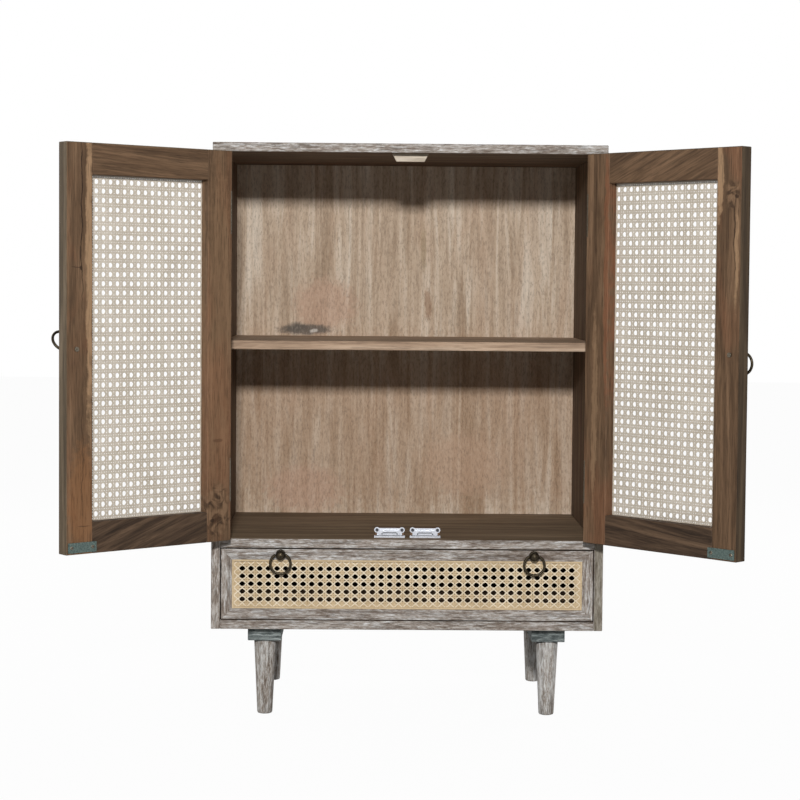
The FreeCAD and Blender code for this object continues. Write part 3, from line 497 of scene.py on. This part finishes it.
def door_faces(side):
    """Brown inside a door and round its cane, washed outside, and worn along its outer edges."""
    shut = opened(side).inverted()
    low, high = shut_box(side, f"{side}_door_free_stile", f"{side}_door_hinge_stile")

    def choose(centre, normal):
        place = shut @ centre
        facing = shut.to_3x3() @ normal
        if facing.y < -MOSTLY:
            return 1
        at_side = abs(facing.x) > MOSTLY and not low.x + EDGE_MARGIN < place.x < high.x - EDGE_MARGIN
        at_end = abs(facing.z) > MOSTLY and not low.z + EDGE_MARGIN < place.z < high.z - EDGE_MARGIN
        return 2 if at_side or at_end else 0

    return choose


paint("top_panel", pale["X"], inner["X"], choose=facing_down)
paint("left_side_panel", pale["Z"], inner["Z"], choose=facing_inside)
paint("right_side_panel", pale["Z"], inner["Z"], front_grey, choose=facing_inside_or_front)
paint("cabinet_floor", pale["X"], floor_brown, choose=facing_up_or_down)
paint("bottom_panel", pale["X"], inner["X"], choose=facing_up)
paint("back_panel", back_plain, back_tan, choose=facing_front)
paint("shelf", shelf_brown)
paint("door_stop_block", block_pale)
paint("catch_blocks", inner["X"])
for side in SIDES:
    paint(f"{side}_leg_rail", rail_grey_and_shade)
    paint(f"{side}_drawer_runner", drawer_wood["Y"])
    paint(f"drawer_{side}_side", drawer_wood["Y"])
    paint(f"drawer_front_{side}_stile", pale["Z"], drawer_gap_shade["Z"], choose=drawer_faces)
    for piece, brown in door_stiles[side].items():
        paint(f"{side}_door_{piece}", brown, door_outside[side]["Z"], door_edges[side]["Z"],
              choose=door_faces(side))
    for end, brown in door_rails[side].items():
        paint(f"{side}_door_{end}_rail", brown, door_outside[side]["X"], door_edges[side]["X"],
              choose=door_faces(side))
    paint(f"{side}_door_bead", bead_tan_and_highlight)
    paint(f"{side}_door_strike_plate", zinc)
    paint(f"{side}_door_hinge_leaves", hinge_steel)
    paint(f"{side}_door_pull_bolt", hinge_steel)
for piece in ("top_rail", "bottom_rail"):
    paint(f"drawer_front_{piece}", pale["X"], drawer_gap_shade["X"], choose=drawer_faces)
for piece in ("drawer_back", "drawer_bottom"):
    paint(piece, drawer_wood["X"])
paint("drawer_bead", drawer_bead_tan)
paint("drawer_pull_bolts", bronze)
paint("hinge_frame_leaves", hinge_steel)
paint("leg_bolts", zinc)
paint("magnetic_catches", silver)
# The catch screws take the dark metal as painted shade in the holes of the catch ears.
paint("catch_screws", recess_shade_black)


# Meshes

def mesh_object(name, vertices, faces, *materials, smooth=False, place=None, kinds=None):
    """A new piece, drawn with the doors shut and then put in place, with its faces turned outwards."""
    mesh = bpy.data.meshes.new(name)
    mesh.from_pydata(vertices, [], faces)
    for material in materials:
        mesh.materials.append(material)
    if kinds:
        mesh.polygons.foreach_set("material_index", kinds)
    if place:
        mesh.transform(place)
    shell = bmesh.new()
    shell.from_mesh(mesh)
    bmesh.ops.recalc_face_normals(shell, faces=shell.faces)
    shell.to_mesh(mesh)
    shell.free()
    if smooth:
        mesh.shade_smooth()
    made = bpy.data.objects.new(name, mesh)
    bpy.context.scene.collection.objects.link(made)
    return made


def lathe(name, profile, axis_point, material, along="Z", steps=48, place=None):
    """A turned piece: pairs of radius and distance, swept round an axis."""
    vertices = []
    rows = []
    for radius, distance in profile:
        row = []
        for step in range(steps if radius else 1):
            angle = 2 * math.pi * step / steps
            across = (radius * math.cos(angle), radius * math.sin(angle))
            local = (across[0], across[1], distance) if along == "Z" else (across[0], distance, across[1])
            row.append(len(vertices))
            vertices.append(Vector(axis_point) + Vector(local))
        rows.append(row * steps if len(row) == 1 else row)
    faces = []
    for low, high in zip(rows, rows[1:]):
        for step in range(steps):
            following = (step + 1) % steps
            corners = [low[step], low[following], high[following], high[step]]
            faces.append(list(dict.fromkeys(corners)))
    return mesh_object(name, vertices, faces, material, smooth=True, place=place)


def tube(name, path, radius, material, sides=16, place=None):
    """A round wire along a path of points."""
    vertices = []
    faces = []
    last = len(path) - 1
    for index, point in enumerate(path):
        tangent = (path[min(index + 1, last)] - path[max(index - 1, 0)]).normalized()
        across = tangent.cross(Vector((0, 1, 0))).normalized()
        up = across.cross(tangent)
        for step in range(sides):
            angle = 2 * math.pi * step / sides
            vertices.append(point + radius * (math.cos(angle) * across + math.sin(angle) * up))
    for row in range(last):
        for step in range(sides):
            following = (step + 1) % sides
            faces.append([row * sides + step, row * sides + following, (row + 1) * sides + following,
                          (row + 1) * sides + step])
    faces.append(list(range(sides)))
    faces.append([last * sides + step for step in range(sides)])
    return mesh_object(name, vertices, faces, material, smooth=True, place=place)


def lozenge(name, centre, half_length, radius, depth, material, place=None):
    """A thin bar with round ends on an upright face, or a disc where its half length is zero."""
    arc = 9
    outline = []
    for end, start in ((1, -math.pi / 2), (-1, math.pi / 2)):
        for step in range(arc):
            angle = start + math.pi * step / (arc - 1 if half_length else arc)
            outline.append((end * half_length + radius * math.cos(angle), radius * math.sin(angle)))
    x, y, z = centre
    count = len(outline)
    vertices = [(x + across, y + level, z + up) for level in (0, depth) for across, up in outline]
    faces = [list(range(count)), list(range(count, 2 * count))]
    for index in range(count):
        following = (index + 1) % count
        faces.append([index, following, count + following, count + index])
    return mesh_object(name, vertices, faces, material, place=place)


# Legs

LEG_TOP_RADIUS = 0.02
LEG_FOOT_RADIUS = 0.01375
FOOT_ROUNDING = ((0.003, 0.0), (0.0009, 0.0008), (0.0, 0.003))


def build_legs():
    for end in ("front", "rear"):
        for side in SIDES:
            node = f"{end}_{side}_leg"
            low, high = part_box(node)
            middle = (low + high) / 2
            foot = [(LEG_FOOT_RADIUS - inset, height) for inset, height in FOOT_ROUNDING]
            profile = [(0.0, 0.0), *foot, (LEG_TOP_RADIUS, high.z), (0.0, high.z)]
            leg = lathe(f"turned_{node}", profile, (middle.x, middle.y, 0), leg_pale)
            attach(leg, "carcass")
            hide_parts(node)


# Cane webbing

PITCH = {"door": (0.01375, 0.0155), "drawer": (0.0155, 0.01375)}
# Width of a paired strand, width of a slanting strand, and half the distance between a pair's middles
STRANDS = {"door": (0.0030, 0.0028, 0.0021), "drawer": (0.0023, 0.0018, 0.0016)}
DRAWER_HOLES = (39, 5)
STRAND_STEP = 0.00026
STRAND_THICKNESS = 0.9 * STRAND_STEP
BACKING = 0.0001
SHORTEST_STRAND = 0.002
FAR = 10.0


def clip(point, direction, half_width, half_height):
    """The ends of a straight line through a point, cut to a rectangle round the origin."""
    low, high = -FAR, FAR
    for place, heading, half in zip(point, direction, (half_width, half_height)):
        if heading == 0:
            if abs(place) > half:
                return None
            continue
        ends = sorted(((-half - place) / heading, (half - place) / heading))
        low = max(low, ends[0])
        high = min(high, ends[1])
    if high - low < SHORTEST_STRAND:
        return None
    return [(point[0] + at * direction[0], point[1] + at * direction[1]) for at in (low, high)]


def bar(ends, width, centre, levels):
    """The eight corners of a flat strip between two points of an upright sheet."""
    (x_start, z_start), (x_end, z_end) = ends
    aside = Vector((z_start - z_end, x_end - x_start)).normalized() * width / 2
    outline = ((x_start, z_start, -1), (x_start, z_start, 1), (x_end, z_end, 1), (x_end, z_end, -1))
    corners = []
    for level in levels:
        for x, z, sign in outline:
            corners.append((centre.x + x + sign * aside.x, level, centre.z + z + sign * aside.y))
    return corners


def strand_lines(kind, half_width, half_height):
    """Each strand's point, direction, layer and width: upright pairs, level pairs and two slanting sets."""
    pitch_x, pitch_z = PITCH[kind]
    strand, slant_strand, spread = STRANDS[kind]
    columns = int(half_width / pitch_x) + 1
    rows = int(half_height / pitch_z) + 1
    lines = []
    for column in range(-columns, columns + 1):
        for shift in (-spread, spread):
            lines.append((((column + 0.5) * pitch_x + shift, 0), (0, 1), 0, strand))
    for row in range(-rows, rows + 1):
        for shift in (-spread, spread):
            lines.append(((0, (row + 0.5) * pitch_z + shift), (1, 0), 1, strand))
    slant = Vector((pitch_x, pitch_z)).normalized()
    for step in range(-columns - rows - 2, columns + rows + 3):
        start = ((step + 0.5) * pitch_x, 0)
        lines.append((start, (slant.x, slant.y), 2, slant_strand))
        lines.append((start, (-slant.x, slant.y), 3, slant_strand))
    return lines


def border_strips(kind, holes, half_width, half_height, centre, back):
    """Four strips that close the net round its field of holes."""
    field_width, field_height = (count * pitch / 2 for count, pitch in zip(holes, PITCH[kind]))
    levels = (back - BACKING, back)
    strips = []
    for sign in (-1, 1):
        across = sign * (half_width + field_width) / 2
        up = sign * (half_height + field_height) / 2
        upright = ((across, -half_height), (across, half_height))
        level = ((-field_width, up), (field_width, up))
        strips.append((bar(upright, half_width - field_width, centre, levels), 0))
        strips.append((bar(level, half_height - field_height, centre, levels), 0))
    return strips


def webbing(name, kind, low, high, materials, place=None, holes=None):
    """Six-way cane that fills a sheet. Its slanting strands cut the corners off the holes."""
    centre = (low + high) / 2
    half_width = (high.x - low.x) / 2
    half_height = (high.z - low.z) / 2
    strips = []
    for point, direction, layer, width in strand_lines(kind, half_width, half_height):
        ends = clip(point, direction, half_width, half_height)
        if ends:
            near = high.y - BACKING - (layer + 1) * STRAND_STEP
            strips.append((bar(ends, width, centre, (near, near + STRAND_THICKNESS)), int(layer > 1)))
    if holes:
        strips += border_strips(kind, holes, half_width, half_height, centre, high.y)
    vertices = []
    faces = []
    kinds = []
    for corners, material_index in strips:
        base = len(vertices)
        vertices += corners
        faces += [[base, base + 1, base + 2, base + 3], [base + 4, base + 5, base + 6, base + 7]]
        for corner in range(4):
            following = (corner + 1) % 4
            faces.append([base + corner, base + following, base + 4 + following, base + 4 + corner])
        kinds += [material_index] * 6
    return mesh_object(name, vertices, faces, *materials, place=place, kinds=kinds)


def build_webbing():
    for side in SIDES:
        low, high = shut_box(side, f"{side}_door_cane")
        panel = webbing(f"{side}_door_webbing", "door", low, high, door_canes[side], opened(side))
        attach(panel, f"{side}_door")
        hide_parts(f"{side}_door_cane")
    low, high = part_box("drawer_cane")
    panel = webbing("drawer_webbing", "drawer", low, high, drawer_canes, holes=DRAWER_HOLES)
    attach(panel, "drawer")
    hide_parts("drawer_cane")


# Ring pulls

PULL_STANDOFF = FRONT - joints["left_drawer_ring_swing"]["pos_m"][1]
ROSE_AND_NECK = [(0.0, 0.0), (0.009, 0.0), (0.009, -0.0012), (0.0082, -0.002), (0.0062, -0.0026),
                 (0.005, -0.004), (0.005, -0.0052)]
DOME_RADIUS = 0.0083
DOME_DEPTH = 0.007
DOME_DEGREES = range(130, 0, -10)
RING_RADIUS = 0.0181
RING_WIRE = 0.0048
RING_DROP = 0.015
RING_END = 0.0089
RING_STEPS = 64
RING_INWARD_DEGREES = 10


def knob_profile():
    """The rose, the neck and the dome, from the wood outwards."""
    points = list(ROSE_AND_NECK)
    for degrees in DOME_DEGREES:
        angle = math.radians(degrees)
        points.append((DOME_RADIUS * math.sin(angle), -PULL_STANDOFF - DOME_DEPTH * math.cos(angle)))
    points[-1] = (0.0, points[-1][1])
    return points


def build_pull(joint, place, knob_node):
    """A knob with its ring, drawn hanging on a shut door or drawer and then put in place."""
    ring_name = joint["child"]
    name = ring_name.removesuffix("_ring")
    pivot = place.inverted() @ Vector(joint["pos_m"])
    knob = lathe(f"{name}_turned_knob", knob_profile(), (pivot.x, FRONT, pivot.z), bronze, along="Y",
                 place=place)
    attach(knob, joint["parent"])
    if knob_node:
        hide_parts(knob_node)
    open_angle = math.asin(RING_END / RING_RADIUS)
    path = []
    for step in range(RING_STEPS + 1):
        angle = open_angle + 2 * (math.pi - open_angle) * step / RING_STEPS
        across = RING_RADIUS * math.sin(angle)
        up = RING_RADIUS * math.cos(angle) - RING_DROP
        path.append(pivot + Vector((across, 0, up)))
    raised = math.radians(-joint["range_deg"][0] - RING_INWARD_DEGREES)
    swing = Matrix.Translation(pivot) @ Matrix.Rotation(-raised, 4, "X") @ Matrix.Translation(-pivot)
    ring = tube(f"{name}_round_ring", path, RING_WIRE / 2, bronze, place=place @ swing)
    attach(ring, ring_name)
    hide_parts(ring_name)


def build_pulls():
    """The pulls of the doors and the drawer. The left drawer knob replaces the CAD node of both."""
    for side in SIDES:
        build_pull(joints[f"{side}_door_ring_swing"], opened(side), f"{side}_door_knob")
    for side in SIDES:
        knob_node = "drawer_knobs" if side == "left" else None
        build_pull(joints[f"{side}_drawer_ring_swing"], Matrix.Identity(4), knob_node)


# Catches and strike plates

CATCH_MIDDLE = 0.032
DIMPLE_SPACING = 0.0135
INLAY = 0.0003
PLATE_SCREWS = {"free": 0.012, "inner": 0.052}
SCREW_RADIUS = 0.0031
SCREW_RISE = 0.0007
SCREW_DOME_SHARES = ((0.0, 0.0), (1.0, 0.0), (1.0, 0.3), (0.7, 0.85), (0.0, 1.0))
SLOT_HALF_LENGTH = 0.55 * SCREW_RADIUS
SLOT_RADIUS = 0.0004


def build_catch_details():
    """The seams and dimples on each catch's face, thin dark inlays of painted shade: place, height, half
    length and radius.
    """
    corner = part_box("magnetic_catches")[0]
    for side, sign in SIDES.items():
        middle = sign * CATCH_MIDDLE
        inlays = {
            "seam": (middle, 0.0090, 0.0120, 0.0008),
            "near_dimple": (middle - DIMPLE_SPACING, 0.0068, 0.0, 0.0013),
            "far_dimple": (middle + DIMPLE_SPACING, 0.0068, 0.0, 0.0013),
            "foot_seam": (middle, 0.0040, 0.0250, 0.0005),
        }
        for name, (x, height, half_length, radius) in inlays.items():
            inlay = lozenge(f"{side}_catch_{name}", (x, corner.y, corner.z + height), half_length, radius,
                            -INLAY, recess_shade_black)
            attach(inlay, "carcass")


def build_plate_screws():
    """Two slotted screws in each strike plate, each slot a thin dark inlay of painted shade."""
    dome = [(SCREW_RADIUS * out, SCREW_RISE * up) for out, up in SCREW_DOME_SHARES]
    for side, sign in SIDES.items():
        low, high = shut_box(side, f"{side}_door_strike_plate")
        middle = (low.z + high.z) / 2
        for end, x in PLATE_SCREWS.items():
            name = f"{side}_plate_{end}_screw"
            head = lathe(name, dome, (sign * x, high.y, middle), hinge_steel, along="Y", steps=24,
                         place=opened(side))
            slot = lozenge(f"{name}_slot", (sign * x, high.y + SCREW_RISE, middle), SLOT_HALF_LENGTH,
                           SLOT_RADIUS, INLAY / 3, recess_shade_black, place=opened(side))
            for piece in (head, slot):
                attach(piece, f"{side}_door")


build_legs()
build_webbing()
build_pulls()
build_catch_details()
build_plate_screws()


# Floor, background and light

WHITE = (1, 1, 1, 1)
BACKGROUND = 1.0
SOFT_LIGHT = 0.08
FLOOR_HALF = 12.0
FLOOR_GREYS = (0.40, 0.46)
FLOOR_WHITE_SHARE = 0.97
KEY_PLACE = (-0.15, -4.2, 1.76)
KEY_TARGET = (0, 0, 0.6)
REAR_PLACE = (2.4, 1.9, 1.8)
REAR_TARGET = (0, 0, 0.5)


def direct_ray(tree):
    """One for rays from the camera, direct or by way of metal, and zero for light on the object."""
    path = tree.nodes.new("ShaderNodeLightPath")
    seen = path.outputs["Is Camera Ray"]
    for other in ("Is Glossy Ray", "Is Transmission Ray"):
        either = tree.nodes.new("ShaderNodeMath")
        either.operation = "MAXIMUM"
        tree.links.new(seen, either.inputs[0])
        tree.links.new(path.outputs[other], either.inputs[1])
        seen = either.outputs[0]
    return seen


def build_floor():
    corners = [(x * FLOOR_HALF, y * FLOOR_HALF, 0) for x, y in ((-1, -1), (1, -1), (1, 1), (-1, 1))]
    shader = Shader("studio_floor")
    field = shader.noise(shader.place(), 3.0, detail=2.0)
    greys = [(grey, grey, grey, 1) for grey in FLOOR_GREYS]
    shader.finish(shader.ramp(field, (0.0, greys[0]), (1.0, greys[1])), roughness=0.9)
    white = shader.add("ShaderNodeEmission", Color=WHITE, Strength=BACKGROUND)
    share = shader.scaled(direct_ray(shader.tree), FLOOR_WHITE_SHARE)
    blend = shader.add("ShaderNodeMixShader", Fac=share)
    shader.put(blend.inputs[1], shader.surface.outputs["BSDF"])
    shader.put(blend.inputs[2], white.outputs["Emission"])
    shader.put(shader.tree.nodes["Material Output"].inputs["Surface"], blend.outputs["Shader"])
    floor = mesh_object("floor", corners, [[0, 1, 2, 3]], shader.material)


def build_world():
    world = bpy.data.worlds.new("studio")
    bpy.context.scene.world = world
    world.use_nodes = True
    tree = world.node_tree
    soft = tree.nodes["Background"]
    plain = tree.nodes.new("ShaderNodeBackground")
    for light, strength in ((soft, SOFT_LIGHT), (plain, BACKGROUND)):
        light.inputs["Color"].default_value = WHITE
        light.inputs["Strength"].default_value = strength
    blend = tree.nodes.new("ShaderNodeMixShader")
    tree.links.new(direct_ray(tree), blend.inputs[0])
    tree.links.new(soft.outputs["Background"], blend.inputs[1])
    tree.links.new(plain.outputs["Background"], blend.inputs[2])
    tree.links.new(blend.outputs["Shader"], tree.nodes["World Output"].inputs["Surface"])


def add_lamp(name, place, target, size, power):
    data = bpy.data.lights.new(name, "AREA")
    data.shape = "SQUARE"
    data.size = size
    data.energy = power
    lamp = bpy.data.objects.new(name, data)
    lamp.location = place
    lamp.rotation_euler = (Vector(target) - Vector(place)).to_track_quat("-Z", "Y").to_euler()
    bpy.context.scene.collection.objects.link(lamp)


def build_lamps():
    add_lamp("key", KEY_PLACE, KEY_TARGET, size=0.25, power=160)
    for side, sign in SIDES.items():
        x, y, z = REAR_PLACE
        add_lamp(f"{side}_rear", (sign * x, y, z), REAR_TARGET, size=2.0, power=72)


# Camera: turns in degrees, place in metres from the cabinet's front, focal length and shift in pixels

CAMERA_YAW = 0.7115
CAMERA_PITCH = 2.6416
CAMERA_ROLL = -0.477
CAMERA_PLACE = (-0.07033, -3.449842, 0.781546)
CAMERA_CLIP = 100
PICTURE = 800
FOCAL = 1943.83
SHIFT = (6.468, -27.834)
SENSOR = 36


def build_camera():
    yaw = math.radians(CAMERA_YAW)
    pitch = math.radians(CAMERA_PITCH)
    roll = math.radians(CAMERA_ROLL)
    forward = Vector((math.sin(yaw) * math.cos(pitch), math.cos(yaw) * math.cos(pitch), -math.sin(pitch)))
    level = Vector((math.cos(yaw), -math.sin(yaw), 0))
    down = forward.cross(level)
    right = math.cos(roll) * level + math.sin(roll) * down
    up = math.sin(roll) * level - math.cos(roll) * down
    data = bpy.data.cameras.new("camera")
    data.sensor_width = SENSOR
    data.lens = FOCAL * SENSOR / PICTURE
    data.shift_x = SHIFT[0] / PICTURE
    data.shift_y = SHIFT[1] / PICTURE
    data.clip_end = CAMERA_CLIP
    camera = bpy.data.objects.new("camera", data)
    turn = Matrix((right, up, -forward)).transposed().to_4x4()
    camera.matrix_world = Matrix.Translation(Vector(CAMERA_PLACE) + Vector((0, FRONT, 0))) @ turn
    bpy.context.scene.collection.objects.link(camera)
    bpy.context.scene.camera = camera


build_floor()
build_world()
build_lamps()
build_camera()
bpy.context.scene.view_settings.view_transform = "Standard"
